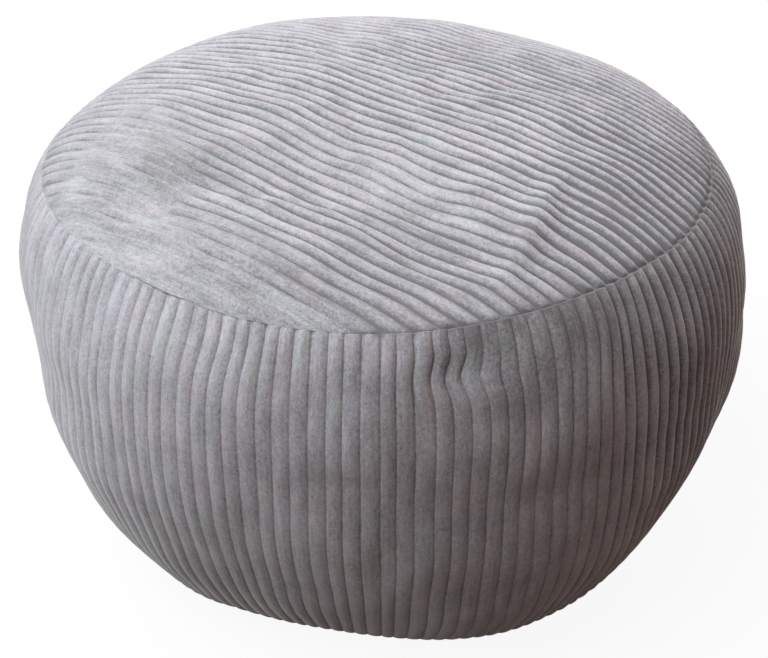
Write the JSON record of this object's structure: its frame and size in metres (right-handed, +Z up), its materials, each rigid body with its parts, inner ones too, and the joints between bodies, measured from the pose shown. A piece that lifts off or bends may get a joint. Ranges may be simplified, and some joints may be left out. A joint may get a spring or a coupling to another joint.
{
  "type": "round corduroy floor pouf",
  "caption": "Round stuffed floor pouf in wide-wale corduroy, with a crowned top panel, a bulging side band and a plain turned-in seam.",
  "frame": {"origin": "middle of the pouf's outline, on the floor", "axes": "+Z up; -Y is the front, the side with the dent in the top"},
  "size_m": [0.5416, 0.5406, 0.3299],
  "materials": {
    "corduroy": "matt silver-grey pile with a soft sheen"
  },
  "bodies": {
    "root": {"side_band": "corduroy", "top_panel": "corduroy", "base_panel": "corduroy"}
  },
  "joints": []
}
